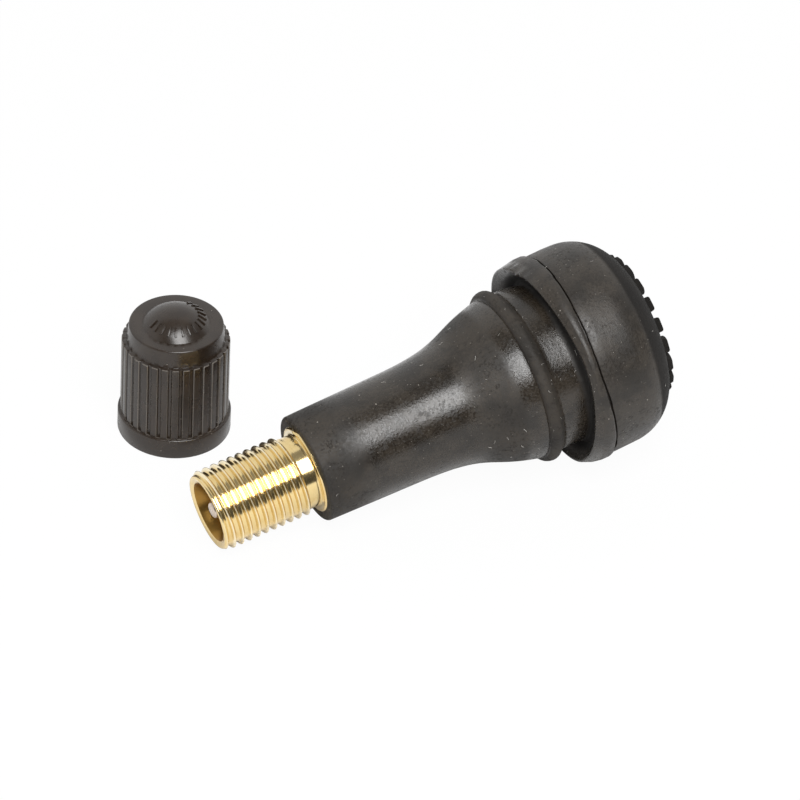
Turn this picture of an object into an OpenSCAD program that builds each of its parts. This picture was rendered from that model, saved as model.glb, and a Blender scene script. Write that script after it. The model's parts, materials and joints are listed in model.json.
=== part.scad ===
// Snap-in rubber tyre valve, lying as it comes to rest, with its dust cap standing beside it.
// Each valve piece is drawn about its own axis: z = 0 is the mouth and z grows towards the head.

/* [Stem outside] */
// outside radius of the cap thread
thread_r = 3.84; // [3.74:0.01:3.9]
// length from the mouth to the end of the cap thread
thread_len = 8.7; // [8.2:0.05:9]
// number of rings that the cap thread is drawn with
thread_rings = 11; // [10:1:12]
// depth of the cap thread
thread_depth = 0.36; // [0.3:0.01:0.38]
// width of the top of a thread ring
crest_w = 0.1; // [0.08:0.01:0.14]
// length of each flank of a thread ring
flank_len = 0.17; // [0.14:0.01:0.19]
// length of the lead-in chamfer at the mouth
tip_chamfer = 0.6; // [0.4:0.05:0.8]
// outside radius of the rim around the mouth
rim_r = 3.5; // [3.4:0.01:3.55]
// width of the flat edge of the rim
rim_flat = 0.12; // [0.08:0.01:0.16]
// radius of the relief behind the thread
relief_r = 3.46; // [3.38:0.01:3.6]
// radius of the shoulder that the rubber ends on
shoulder_r = 4.15; // [4.0:0.01:4.3]
// length of the relief between the thread and the shoulder
relief_len = 1.15; // [1:0.05:1.25]
// length of the shoulder
shoulder_len = 1.5; // [1.2:0.05:1.8]
// radius of the shank inside the rubber
shank_r = 3.6; // [3.5:0.01:3.8]
// radius of the foot that anchors the stem in the rubber
foot_r = 4.8; // [4.4:0.05:5.2]
// length of the foot
foot_len = 2; // [1.6:0.05:2.4]
// distance from the mouth to the end of the foot
stem_len = 35; // [34:0.1:36]

/* [Stem bore] */
// radius of the opening at the mouth
mouth_r = 2.85; // [2.78:0.01:2.95]
// depth of the dished face between the rim and the opening
mouth_dish = 0.12; // [0.05:0.01:0.2]
// distance from the mouth to the end of its open part
mouth_len = 1.2; // [1:0.05:1.4]
// length of the taper from the open part to the core thread
mouth_sink = 0.35; // [0.2:0.05:0.5]
// radius of the bore that takes the core thread
core_bore_r = 2.66; // [2.64:0.005:2.7]
// distance from the mouth to the start of the conical seat
seat_z = 7.6; // [7.5:0.02:7.7]
// length of the conical seat
seat_len = 2.8; // [2.6:0.05:3]
// radius of the air passage below the seat
passage_r = 2.1; // [2.05:0.01:2.2]

/* [Rubber sleeve] */
// distance from the mouth to the end of the rubber
sleeve_z = 10; // [9.95:0.05:10.4]
// radius of the sleeve at its end
sleeve_r = 5.09; // [4.95:0.01:5.2]
// rounding of the end of the sleeve
sleeve_round = 0.25; // [0.15:0.01:0.4]
// distance from the mouth to where the sleeve starts to swell
swell_z = 19.5; // [18.5:0.1:20.5]
// radius of the sleeve where it starts to swell
swell_r = 5.25; // [5.15:0.01:5.35]
// length of the slow start of the swell
swell_slow = 7.1; // [6.6:0.1:7.6]
// length of the full end of the swell
swell_full = 5; // [4.5:0.1:5.5]
// rise of the swell for each unit of length at its full end
swell_slope = 0.21; // [0.15:0.01:0.25]
// radius of the swell where it meets the ridge
swell_end_r = 7.74; // [7.68:0.01:7.78]

/* [Rim grip] */
// distance from the mouth to the middle of the snap ridge
ridge_z = 31.5; // [31.35:0.05:31.6]
// radius of the snap ridge
ridge_r = 8.34; // [8.26:0.01:8.42]
// length of the snap ridge
ridge_len = 1.2; // [1.1:0.02:1.3]
// rounding of the edges of the snap ridge
ridge_round = 0.36; // [0.3:0.01:0.4]
// radius of the neck that sits in the rim hole
neck_r = 7.74; // [7.66:0.01:7.8]
// distance from the mouth to the bottom of the undercut behind the lip
undercut_z = 35; // [34.8:0.05:35.1]
// rounding at the root of the undercut
undercut_round = 0.45; // [0.3:0.05:0.6]
// distance from the mouth to the front of the sealing lip
lip_z = 34.15; // [34.05:0.05:34.3]
// radius at the front of the sealing lip
lip_r = 9.45; // [9.35:0.02:9.55]
// rounding of the sealing lip
lip_round = 0.2; // [0.15:0.01:0.25]
// distance from the mouth to the widest ring of the band
band_z = 35.8; // [35.7:0.05:35.9]
// radius of the band
band_r = 10.09; // [10.02:0.01:10.2]
// length of the widest part of the band
band_len = 0.6; // [0.5:0.05:0.65]

/* [Head] */
// distance from the mouth to the mould parting groove
parting_z = 36.7; // [36.65:0.05:36.9]
// depth of the parting groove below the head
parting_depth = 0.08; // [0.04:0.01:0.12]
// length of the parting groove
parting_len = 0.16; // [0.1:0.02:0.24]
// radius of the head behind the parting groove
head_front_r = 9.88; // [9.84:0.01:9.96]
// radius of the head where its rounding starts
head_r = 9.79; // [9.7:0.01:9.84]
// rounding of the back of the head
head_round = 4.6; // [4.3:0.05:4.9]
// distance from the mouth to the back of the head
back_z = 43.95; // [43.5:0.05:44.4]
// radius of the air hole in the back of the head
air_hole_r = 2.2; // [2.1:0.05:2.6]
// depth of the countersink around the air hole
air_sink = 0.6; // [0.3:0.05:0.9]
// radius of the shallow dish around the air hole
dish_r = 4.4; // [4:0.05:4.8]
// depth of the shallow dish
dish_depth = 0.35; // [0.2:0.05:0.5]

/* [Back lugs] */
// number of plain lugs around the back
lug_count = 20; // [16:1:22]
// length of a lug along the rounding
lug_len = 1.1; // [0.9:0.05:1.3]
// width of a lug
lug_w = 1.15; // [0.9:0.05:1.3]
// height of a lug above the rounding
lug_h = 0.45; // [0.35:0.02:0.55]
// depth of a lug below the rounding
lug_root = 0.5; // [0.4:0.05:0.6]
// lean of a lug away from the axis, in degrees
lug_lean = 12; // [11.5:0.5:15]

/* [Core plug] */
// distance from the mouth to the top of the bridge
bridge_z = 2.7; // [2.6:0.02:2.8]
// height of the bridge
bridge_h = 1.5; // [1.4:0.02:1.6]
// width of the bridge across its flats
bridge_w = 2.3; // [2.1:0.02:2.5]
// radius of the bridge at its ends
bridge_r = 2.4; // [2.3:0.01:2.5]
// radius of the hole in the bridge for the pin
bridge_hole_r = 0.58; // [0.55:0.01:0.64]
// gap between the plug thread and its bore
plug_gap = 0.06; // [0.04:0.005:0.08]
// length of the threaded ring below the bridge
plug_len = 3.2; // [3.15:0.01:3.25]
// radius of the opening through the plug
plug_hole_r = 1.75; // [1.73:0.005:1.78]
// radius of the groove that holds the barrel collar
swivel_r = 2.1; // [2.08:0.005:2.14]
// length of the lip that holds the barrel collar in
swivel_lip = 0.5; // [0.45:0.01:0.55]
// length of the groove that holds the barrel collar
swivel_len = 1.3; // [1.28:0.01:1.34]

/* [Core barrel] */
// gap between the collar and its groove
swivel_gap = 0.1; // [0.07:0.005:0.12]
// radius of the groove under the barrel gasket
gasket_groove_r = 1.45; // [1.42:0.005:1.5]
// length of the barrel gasket
gasket_len = 2.1; // [2:0.02:2.15]
// distance from the start of the seat to the barrel gasket
gasket_drop = 0.7; // [0.68:0.01:0.76]
// gap between the barrel gasket and the conical seat
gasket_gap = 0.03; // [0.02:0.005:0.05]
// radius of the bead below the barrel gasket
bead_r = 1.8; // [1.7:0.01:1.9]
// length of the bead below the barrel gasket
bead_len = 0.5; // [0.4:0.02:0.6]
// radius of the lower barrel
barrel_r = 1.55; // [1.5:0.01:1.6]
// distance from the mouth to the end of the barrel
barrel_end = 15.5; // [15.4:0.02:15.7]
// radius of the spring chamber
chamber_r = 1.15; // [1.12:0.005:1.2]
// thickness of the ledge under the spring
ledge_t = 0.9; // [0.8:0.02:1]
// radius of the hole in the ledge
ledge_hole_r = 0.7; // [0.66:0.01:0.72]

/* [Core pin] */
// distance from the mouth to the tip of the pin
pin_tip = 0.35; // [0.3:0.01:0.4]
// radius of the pin
pin_r = 0.42; // [0.4:0.005:0.45]
// radius of the head of the pin
pin_head_r = 0.8; // [0.75:0.01:0.85]
// length of the head of the pin
pin_head_len = 0.53; // [0.48:0.01:0.55]
// height of the rounded edge of the head of the pin
pin_dome = 0.34; // [0.28:0.01:0.4]
// radius of the flat tip of the pin
pin_flat_r = 0.34; // [0.25:0.01:0.4]
// length of the taper under the head of the pin
pin_taper = 0.3; // [0.2:0.02:0.4]
// distance from the mouth to the pinched ears on the pin
ear_z = 9; // [8.9:0.02:9.1]
// length of the pinched ears along the pin
ear_len = 0.35; // [0.3:0.01:0.4]
// radius of the pinched ears
ear_r = 1; // [0.97:0.005:1.03]
// width of the pinched ears across their flats
ear_w = 1.2; // [1.1:0.02:1.3]

/* [Core spring] */
// radius of the spring wire
wire_r = 0.16; // [0.14:0.005:0.17]
// radius of the middle of the spring coil
coil_r = 0.9; // [0.88:0.005:0.93]
// number of open turns of the spring
open_turns = 5; // [4:1:6]
// number of closed turns at each end of the spring
closed_turns = 1; // [1:1:2]
// gap between the spring and what it rests on
spring_gap = 0.02; // [0.01:0.005:0.03]

/* [Seal cup] */
// outside radius of the cup
cup_r = 1.75; // [1.7:0.01:1.8]
// wall of the cup
cup_wall = 0.28; // [0.24:0.01:0.32]
// length of the cup
cup_len = 1.15; // [1.1:0.01:1.2]
// thickness of the cup floor
cup_floor = 0.4; // [0.35:0.01:0.45]
// length of the gasket that stands out of the cup
gasket_proud = 0.25; // [0.2:0.01:0.3]
// gap between the pin and what is pressed on it
press_gap = 0.02; // [0.01:0.005:0.03]
// radius of the rivet head that holds the cup
rivet_r = 0.75; // [0.7:0.01:0.8]
// length of the rivet head
rivet_len = 0.4; // [0.3:0.01:0.5]

/* [Dust cap] */
// distance from the mouth to the cap, along the valve
cap_along = 5; // [3:0.1:7]
// distance from the valve axis to the cap, across the valve
cap_across = 17; // [15.6:0.1:20]
// radius of the cap flange
cap_flange_r = 5.18; // [5.1:0.01:5.3]
// height of the cap flange
cap_flange_h = 2.05; // [1.8:0.05:2.3]
// chamfer on the edges of the flange
cap_flange_edge = 0.15; // [0.1:0.01:0.25]
// radius over the grip ribs
rib_r = 4.95; // [4.88:0.01:5.02]
// number of grip ribs
rib_count = 31; // [28:1:33]
// radius of the rounded groove between two ribs
rib_groove_r = 0.18; // [0.14:0.01:0.22]
// height of the top of the ribs
rib_top = 9.95; // [9.7:0.05:10.1]
// height over which the tops of the ribs round in
rib_round = 0.5; // [0.4:0.05:0.6]
// radius of the collar at the top of the ribs
collar_low_r = 4.5; // [4.46:0.01:4.54]
// radius of the collar at the top of the cap
collar_top_r = 4.33; // [4.28:0.01:4.38]
// rounding of the top edge of the collar
collar_round = 0.16; // [0.1:0.01:0.22]
// height of the flat top of the cap
cap_h = 11.65; // [11.5:0.05:11.8]
// radius of the dome on the cap
dome_r = 3.2; // [3:0.02:3.4]
// height of the dome on the cap
dome_h = 1.6; // [1.2:0.05:1.9]
// gap between the cap thread and the stem thread
cap_gap = 0.08; // [0.05:0.01:0.12]
// depth of the threaded hole in the cap
cap_depth = 9; // [8.7:0.05:9.2]
// length of the lead-in at the mouth of the cap
cap_lead = 0.4; // [0.2:0.05:0.6]
// radius of the recess over the mouth of the stem
cap_recess_r = 2.9; // [2.7:0.02:3.1]
// depth of the recess over the mouth of the stem
cap_recess = 0.9; // [0.6:0.05:1.1]

/* [Hidden] */
$fn = 64;
// steps used for a rounded stretch of an outline
arc_steps = 8;
// steps used for the swell of the sleeve
swell_steps = 18;
// steps used for the rounding of the head
head_steps = 14;
// steps in one turn of the spring and around its wire
turn_steps = 18;
wire_steps = 8;
// overlap that joins two solids of one piece or clears a cut
join = 0.1;
// share of the way from the lip to the band where its flank bends
flank_bend = 0.55;
// part of the band radius left off at the bend of its flank
flank_drop = 0.13;

// the valve lies on the edge of its thread and on the widest ring of its band
tilt = atan((band_r - thread_r) / (band_z - tip_chamfer));
mouth_up = thread_r * cos(tilt) - tip_chamfer * sin(tilt);
head_c_r = head_r - head_round;
head_c_z = back_z - head_round;
lug_out = (head_round + lug_h) * cos(lug_lean) + lug_len / 2 * sin(lug_lean);
lug_in = (head_round + lug_h) * sin(lug_lean) - lug_len / 2 * cos(lug_lean);
x_low = -rim_r * sin(tilt);
x_high = (head_c_z + lug_out) * cos(tilt) + (head_c_r + lug_in) * sin(tilt);
mouth_x = -(x_low + x_high) / 2;
mouth_y = -(cap_across + cap_flange_r - band_r) / 2;

thread_step = (thread_len - tip_chamfer - crest_w) / (thread_rings - 1);
root_r = thread_r - thread_depth;
face_r = rim_r - rim_flat;
shoulder_z = thread_len + relief_len;
shoulder_end = shoulder_z + shoulder_len;
foot_z = stem_len - foot_len;
seat_end = seat_z + seat_len;
swell_end_z = ridge_z - ridge_len / 2 - join;
ridge_half = ridge_len / 2 - ridge_round;

plug_r = core_bore_r - plug_gap;
plug_z = bridge_z + bridge_h;
plug_end = plug_z + plug_len;
groove_end = plug_end - swivel_lip;
groove_z = groove_end - swivel_len;
collar_r = swivel_r - swivel_gap;
collar_z = groove_z + swivel_gap;
collar_end = groove_end - swivel_gap;
barrel_neck_r = plug_hole_r - swivel_gap;
gasket_z = seat_z + gasket_drop;
gasket_end = gasket_z + gasket_len;
ledge_z = barrel_end - ledge_t;

cup_z = barrel_end + gasket_proud;
cup_end = cup_z + cup_len;
cup_floor_z = cup_end - cup_floor;
cup_hole_r = pin_r + press_gap;
gasket_r = cup_r - cup_wall - press_gap;
pin_end = cup_end + rivet_len;
pin_neck_z = pin_tip + pin_head_len;
rib_slope = rib_round / (rib_r - collar_low_r);
dome_ball_r = (dome_r * dome_r + dome_h * dome_h) / (2 * dome_h);

spring_low = ear_z + ear_len + spring_gap + wire_r;
spring_high = ledge_z - spring_gap - wire_r;
closed_pitch = 2 * wire_r + spring_gap;
open_pitch = (spring_high - spring_low - 2 * closed_turns * closed_pitch) / open_turns;
all_turns = open_turns + 2 * closed_turns;

// radius of the conical seat at a distance from the mouth
function seat_at(z) = core_bore_r - (core_bore_r - passage_r) * (z - seat_z) / seat_len;

// points of an arc in an outline
function arc(cr, cz, rad, a0, a1, steps) = [
  for (i = [0 : steps])
    let (a = a0 + (a1 - a0) * i / steps)
    [cr + rad * cos(a), cz + rad * sin(a)]
];

// points of a smooth curve with two pulls
function curve(p0, p1, p2, p3, steps) = [
  for (i = [0 : steps])
    let (t = i / steps, u = 1 - t)
    u * u * u * p0 + 3 * u * u * t * p1 + 3 * u * t * t * p2 + t * t * t * p3
];

// points of a quarter of an oval in an outline, from its end on the axis side
function quarter(r0, z0, wide, high, steps) = [
  for (i = [0 : steps])
    let (a = 90 * i / steps)
    [r0 + wide * sin(a), z0 + high * (1 - cos(a))]
];

// points of one thread ring and the root behind it
function thread_ring(z) = [
  [thread_r, z],
  [thread_r, z + crest_w],
  [root_r, z + crest_w + flank_len],
  [root_r, z + thread_step - flank_len]
];

// distance along the spring after a number of turns
function spring_at(turn) = spring_low
  + closed_pitch * min(turn, closed_turns)
  + open_pitch * max(0, min(turn - closed_turns, open_turns))
  + closed_pitch * max(0, turn - closed_turns - open_turns);

// places a piece that was drawn about the valve axis
module lie() {
  translate([mouth_x, mouth_y, mouth_up]) rotate([0, 90 - tilt, 0]) children();
}

// outside of the brass stem, filled to its axis
module stem_outline() {
  polygon(concat(
    [
      [0, 0],
      [rim_r, 0]
    ],
    [for (i = [0 : thread_rings - 2]) each thread_ring(tip_chamfer + i * thread_step)],
    [
      [thread_r, thread_len - crest_w],
      [thread_r, thread_len],
      [relief_r, thread_len + (thread_r - relief_r)],
      [relief_r, shoulder_z],
      [shoulder_r, shoulder_z],
      [shoulder_r, shoulder_end],
      [shank_r, shoulder_end],
      [shank_r, foot_z],
      [foot_r, foot_z],
      [foot_r, stem_len],
      [0, stem_len]
    ]
  ));
}

// bore of the brass stem
module stem_bore() {
  polygon([
    [0, -join],
    [face_r, -join],
    [face_r, 0],
    [mouth_r, mouth_dish],
    [mouth_r, mouth_len],
    [core_bore_r, mouth_len + mouth_sink],
    [core_bore_r, seat_z],
    [passage_r, seat_end],
    [passage_r, stem_len + join],
    [0, stem_len + join]
  ]);
}

// outside of the rubber body, filled to its axis
module rubber_outline() {
  polygon(concat(
    [[0, sleeve_z]],
    arc(sleeve_r - sleeve_round, sleeve_z + sleeve_round, sleeve_round, -90, 0, arc_steps),
    curve(
      [swell_r, swell_z],
      [swell_r + swell_slow * (swell_r - sleeve_r) / (swell_z - sleeve_z), swell_z + swell_slow],
      [swell_end_r - swell_full * swell_slope, swell_end_z - swell_full],
      [swell_end_r, swell_end_z],
      swell_steps
    ),
    arc(ridge_r - ridge_round, ridge_z - ridge_half, ridge_round, -80, 0, arc_steps),
    arc(ridge_r - ridge_round, ridge_z + ridge_half, ridge_round, 0, 80, arc_steps),
    [[neck_r, ridge_z + ridge_len / 2 + join]],
    arc(neck_r + undercut_round, undercut_z - undercut_round, undercut_round, 180, 90, arc_steps),
    arc(lip_r, lip_z + lip_round, lip_round, -110, -20, arc_steps),
    [
      [band_r - flank_drop, lip_z + (band_z - lip_z) * flank_bend],
      [band_r, band_z],
      [band_r, band_z + band_len],
      [head_front_r - parting_depth, parting_z],
      [head_front_r - parting_depth, parting_z + parting_len / 2],
      [head_front_r, parting_z + parting_len]
    ],
    arc(head_c_r, head_c_z, head_round, 0, 90, head_steps),
    [[dish_r, back_z], [dish_r - dish_depth, back_z - dish_depth], [0, back_z - dish_depth]]
  ));
}

// air hole from the foot of the stem to the back of the head
module air_hole() {
  polygon([
    [0, stem_len - join],
    [air_hole_r, stem_len - join],
    [air_hole_r, back_z - dish_depth - air_sink],
    [air_hole_r + air_sink, back_z - dish_depth],
    [air_hole_r + air_sink, back_z + join],
    [0, back_z + join]
  ]);
}

module rubber_body() {
  color([0.16, 0.15, 0.14]) lie() {
    rotate_extrude() difference() {
      rubber_outline();
      stem_outline();
      air_hole();
    }
    for (i = [0 : lug_count - 1])
      rotate([0, 0, i * 360 / lug_count])
        translate([head_c_r, 0, head_c_z])
          rotate([0, lug_lean, 0])
            translate([-lug_len / 2, -lug_w / 2, head_round - lug_root])
              cube([lug_len, lug_w, lug_h + lug_root]);
  }
}

module brass_stem() {
  color([0.85, 0.68, 0.3]) lie()
    rotate_extrude() difference() {
      stem_outline();
      stem_bore();
    }
}

module core_plug() {
  color([0.8, 0.66, 0.34]) lie() {
    // threaded ring with the groove that holds the barrel collar
    rotate_extrude() polygon([
      [plug_hole_r, plug_z],
      [plug_r, plug_z],
      [plug_r, plug_end],
      [plug_hole_r, plug_end],
      [plug_hole_r, groove_end],
      [swivel_r, groove_end],
      [swivel_r, groove_z],
      [plug_hole_r, groove_z]
    ]);
    // bridge that a core key turns, with the hole for the pin
    difference() {
      intersection() {
        translate([0, 0, bridge_z]) cylinder(r = bridge_r, h = bridge_h + join);
        translate([-bridge_w / 2, -bridge_r, bridge_z]) cube([bridge_w, 2 * bridge_r, bridge_h + join]);
      }
      translate([0, 0, bridge_z - join]) cylinder(r = bridge_hole_r, h = bridge_h + 3 * join);
    }
  }
}

module core_barrel() {
  color([0.82, 0.7, 0.4]) lie()
    rotate_extrude() polygon([
      [chamber_r, collar_z],
      [collar_r, collar_z],
      [collar_r, collar_end],
      [barrel_neck_r, collar_end],
      [barrel_neck_r, gasket_z - press_gap],
      [gasket_groove_r, gasket_z - press_gap],
      [gasket_groove_r, gasket_end + press_gap],
      [bead_r, gasket_end + press_gap],
      [bead_r, gasket_end + bead_len],
      [barrel_r, gasket_end + bead_len + (bead_r - barrel_r)],
      [barrel_r, barrel_end],
      [ledge_hole_r, barrel_end],
      [ledge_hole_r, ledge_z],
      [chamber_r, ledge_z]
    ]);
}

module barrel_gasket() {
  color([0.55, 0.1, 0.08]) lie()
    rotate_extrude() polygon([
      [gasket_groove_r + press_gap, gasket_z],
      [seat_at(gasket_z) - gasket_gap, gasket_z],
      [seat_at(gasket_end) - gasket_gap, gasket_end],
      [gasket_groove_r + press_gap, gasket_end]
    ]);
}

module core_pin() {
  color([0.78, 0.76, 0.7]) lie() {
    rotate_extrude() polygon(concat(
      [[0, pin_tip]],
      quarter(pin_flat_r, pin_tip, pin_head_r - pin_flat_r, pin_dome, arc_steps),
      [
        [pin_head_r, pin_neck_z],
        [pin_r, pin_neck_z + pin_taper],
        [pin_r, cup_end],
        [rivet_r, cup_end],
        [rivet_r, pin_end],
        [0, pin_end]
      ]
    ));
    // pinched ears that the spring pushes on
    intersection() {
      translate([0, 0, ear_z]) cylinder(r = ear_r, h = ear_len);
      translate([-ear_w / 2, -ear_r, ear_z]) cube([ear_w, 2 * ear_r, ear_len]);
    }
  }
}

module core_spring() {
  steps = all_turns * turn_steps;
  last = steps * wire_steps;
  points = [
    for (i = [0 : steps])
      let (turn = i / turn_steps, a = 360 * turn, z = spring_at(turn))
      for (j = [0 : wire_steps - 1])
        let (b = 360 * j / wire_steps, r = coil_r + wire_r * cos(b))
        [r * cos(a), r * sin(a), z + wire_r * sin(b)]
  ];
  sides = [
    for (i = [0 : steps - 1])
      for (j = [0 : wire_steps - 1])
        let (k = (j + 1) % wire_steps, p = i * wire_steps, q = p + wire_steps)
        [p + j, p + k, q + k, q + j]
  ];
  low_end = [for (j = [0 : wire_steps - 1]) wire_steps - 1 - j];
  high_end = [for (j = [0 : wire_steps - 1]) last + j];
  color([0.75, 0.75, 0.74]) lie()
    polyhedron(points, concat(sides, [low_end], [high_end]), convexity = 10);
}

module seal_cup() {
  color([0.84, 0.7, 0.38]) lie()
    rotate_extrude() polygon([
      [cup_r - cup_wall, cup_z],
      [cup_r, cup_z],
      [cup_r, cup_end],
      [cup_hole_r, cup_end],
      [cup_hole_r, cup_floor_z],
      [cup_r - cup_wall, cup_floor_z]
    ]);
}

module cup_gasket() {
  color([0.12, 0.12, 0.12]) lie()
    rotate_extrude() polygon([
      [cup_hole_r, barrel_end],
      [gasket_r, barrel_end],
      [gasket_r, cup_floor_z],
      [cup_hole_r, cup_floor_z]
    ]);
}

// flange, tapered collar and low dome of the cap, filled to its axis
module cap_outline() {
  polygon(concat(
    [
      [0, 0],
      [cap_flange_r - cap_flange_edge, 0],
      [cap_flange_r, cap_flange_edge],
      [cap_flange_r, cap_flange_h - cap_flange_edge],
      [cap_flange_r - cap_flange_edge, cap_flange_h],
      [collar_low_r, cap_flange_h],
      [collar_low_r, rib_top - rib_round]
    ],
    arc(collar_top_r - collar_round, cap_h - collar_round, collar_round, 0, 90, arc_steps),
    arc(0, cap_h + dome_h - dome_ball_r, dome_ball_r, 90 - asin(dome_r / dome_ball_r), 90, arc_steps)
  ));
}

// space that the grip ribs fill, sloped in at its top
module rib_outline() {
  polygon([
    [0, 0],
    [rib_r + join, 0],
    [rib_r + join, rib_top - rib_round - join * rib_slope],
    [collar_low_r - join, rib_top + join * rib_slope],
    [0, rib_top + join * rib_slope]
  ]);
}

// ring of grip ribs with rounded grooves between them
module grip_ribs() {
  intersection() {
    rotate_extrude() rib_outline();
    translate([0, 0, cap_flange_h - join])
      linear_extrude(height = cap_h - cap_flange_h) difference() {
        circle(r = rib_r);
        for (i = [0 : rib_count - 1])
          rotate([0, 0, (i + 0.5) * 360 / rib_count]) translate([rib_r, 0]) circle(r = rib_groove_r);
      }
  }
}

// threaded hole of the cap, drawn as its plain bore
module cap_hole() {
  polygon([
    [0, -join],
    [thread_r + cap_gap + cap_lead, -join],
    [thread_r + cap_gap + cap_lead, 0],
    [thread_r + cap_gap, cap_lead],
    [thread_r + cap_gap, cap_depth],
    [cap_recess_r, cap_depth],
    [cap_recess_r, cap_depth + cap_recess],
    [0, cap_depth + cap_recess]
  ]);
}

module dust_cap() {
  color([0.2, 0.18, 0.16]) translate([mouth_x + cap_along, mouth_y + cap_across, 0])
    difference() {
      union() {
        rotate_extrude() cap_outline();
        grip_ribs();
      }
      rotate_extrude() cap_hole();
    }
}

rubber_body();
brass_stem();
core_plug();
core_barrel();
barrel_gasket();
core_pin();
core_spring();
seal_cup();
cup_gasket();
dust_cap();
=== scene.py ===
"""Looks of a snap-in rubber tyre valve and its dust cap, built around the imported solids."""

import json
import logging
import math
import random
from collections.abc import Callable, Sequence
from dataclasses import dataclass
from enum import Enum

import bmesh
import bpy
from mathutils import Matrix, Vector, noise


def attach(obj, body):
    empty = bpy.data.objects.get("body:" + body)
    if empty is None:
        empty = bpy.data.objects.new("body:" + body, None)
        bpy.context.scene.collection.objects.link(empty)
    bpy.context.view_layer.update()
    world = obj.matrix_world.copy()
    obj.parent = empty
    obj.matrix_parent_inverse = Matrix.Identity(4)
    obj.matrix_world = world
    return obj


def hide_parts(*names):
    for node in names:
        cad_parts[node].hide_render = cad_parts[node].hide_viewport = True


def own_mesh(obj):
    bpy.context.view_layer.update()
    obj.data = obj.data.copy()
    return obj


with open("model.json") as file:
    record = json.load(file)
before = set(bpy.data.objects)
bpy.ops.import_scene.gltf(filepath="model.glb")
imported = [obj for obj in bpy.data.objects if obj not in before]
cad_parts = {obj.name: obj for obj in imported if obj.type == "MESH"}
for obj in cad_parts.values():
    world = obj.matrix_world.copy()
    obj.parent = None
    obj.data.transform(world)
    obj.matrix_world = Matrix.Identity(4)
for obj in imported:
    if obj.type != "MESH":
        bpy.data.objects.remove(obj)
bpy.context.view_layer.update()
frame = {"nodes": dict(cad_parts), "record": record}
LOG = logging.getLogger("tyre_valve")
MM = 0.001
TURN = 2 * math.pi

# Millimetres from the mount of the stem's thread to the mouth, and within which a radius is met
STEM_ZERO = 4.65
SLACK = 0.005

# Distances in metres that count as none where vertices merge, are cut or lie on the axis
MERGE = 1e-7
CUT = 1e-8
ON_AXIS = 1e-9

Point = tuple[float, float]
Span = tuple[float, float]
Zone = tuple[Span, Span]
Triple = tuple[float, float, float]
Colour = Triple
Line = tuple[Point, ...]
Mesh = bmesh.types.BMesh
Edge = bmesh.types.BMEdge
Face = bmesh.types.BMFace
Material = bpy.types.Material
Object = bpy.types.Object


class Slot(Enum):
    """Material slots of the record, one of which each piece names."""

    RUBBER = "body_rubber"
    BRASS = "stem_brass"
    CORE = "core_brass"
    PIN = "pin_metal"
    SPRING = "spring_steel"
    CAP = "cap_plastic"


# Places


def mount(name: str) -> dict:
    """Finds a mount of the record by its name."""
    return next(m for m in frame["record"]["mounts"] if m["name"] == name)


@dataclass(frozen=True)
class Seat:
    """Place of a group of pieces: its own axis and zero in the shared frame."""

    matrix: Matrix

    @classmethod
    def on_mount(cls, name: str, back: float) -> "Seat":
        """Finds the seat of an axis that a mount of the record lies on.

        Args:
            name: Name of the mount.
            back: Distance from the mount to the zero of the axis, in millimetres.

        Returns:
            The seat, with its Z along the axis.
        """
        found = mount(name)
        out = Vector(found["axis"]).normalized()
        along = -out
        across = Vector((0, 1, 0))
        down = across.cross(along)
        zero = Vector(found["pos_m"]) + out * back * MM
        turn = Matrix((down, across, along)).transposed().to_4x4()
        return cls(Matrix.Translation(zero) @ turn)


# Outlines and turned shapes


def arc(cr: float, cz: float, rad: float, start: float, end: float, steps: int) -> list[Point]:
    """Gives the points of an arc about its middle, between two angles in degrees."""
    angles = [math.radians(start + (end - start) * i / steps) for i in range(steps + 1)]
    return [(cr + rad * math.cos(a), cz + rad * math.sin(a)) for a in angles]


def pulled(p0: Point, p1: Point, p2: Point, p3: Point, steps: int) -> list[Point]:
    """Gives the points of a smooth curve with two pulls.

    Args:
        p0: First point.
        p1: Pull of the first point.
        p2: Pull of the last point.
        p3: Last point.
        steps: Number of steps.

    Returns:
        The points, first to last.
    """
    made = []
    for i in range(steps + 1):
        t = i / steps
        u = 1 - t
        w = (u**3, 3 * u * u * t, 3 * u * t * t, t**3)
        made.append(tuple(sum(k * p[n] for k, p in zip(w, (p0, p1, p2, p3))) for n in (0, 1)))
    return made


def straight(p0: Point, p1: Point, steps: int) -> list[Point]:
    """Gives evenly spaced points of a line from p0 to p1, without p0."""
    return [
        (p0[0] + (p1[0] - p0[0]) * i / steps, p0[1] + (p1[1] - p0[1]) * i / steps)
        for i in range(1, steps + 1)
    ]


def ease(x: float, low: float, high: float) -> float:
    """Rises smoothly from 0 at low to 1 at high."""
    t = min(max((x - low) / (high - low), 0.0), 1.0)
    return t * t * (3 - 2 * t)


def outward(bm: Mesh) -> None:
    """Turns the faces of a mesh outward."""
    bmesh.ops.recalc_face_normals(bm, faces=bm.faces)


def turned(outline: Sequence[Point], steps: int, closed: bool) -> Mesh:
    """Turns an outline about its axis.

    Args:
        outline: Radius and distance along the axis of each point, in millimetres.
        steps: Number of steps around.
        closed: Whether the last point joins the first; otherwise both lie on the axis.

    Returns:
        A closed mesh in metres, about its own Z axis.
    """
    bm = bmesh.new()
    verts = [bm.verts.new((r * MM, 0, z * MM)) for r, z in outline]
    pairs = list(zip(verts, verts[1:]))
    if closed:
        pairs.append((verts[-1], verts[0]))
    edges = [bm.edges.new(pair) for pair in pairs]
    bmesh.ops.spin(
        bm, geom=verts + edges, cent=(0, 0, 0), axis=(0, 0, 1), angle=TURN, steps=steps, use_merge=True
    )
    bmesh.ops.remove_doubles(bm, verts=bm.verts, dist=MERGE)
    outward(bm)
    return bm


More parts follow.
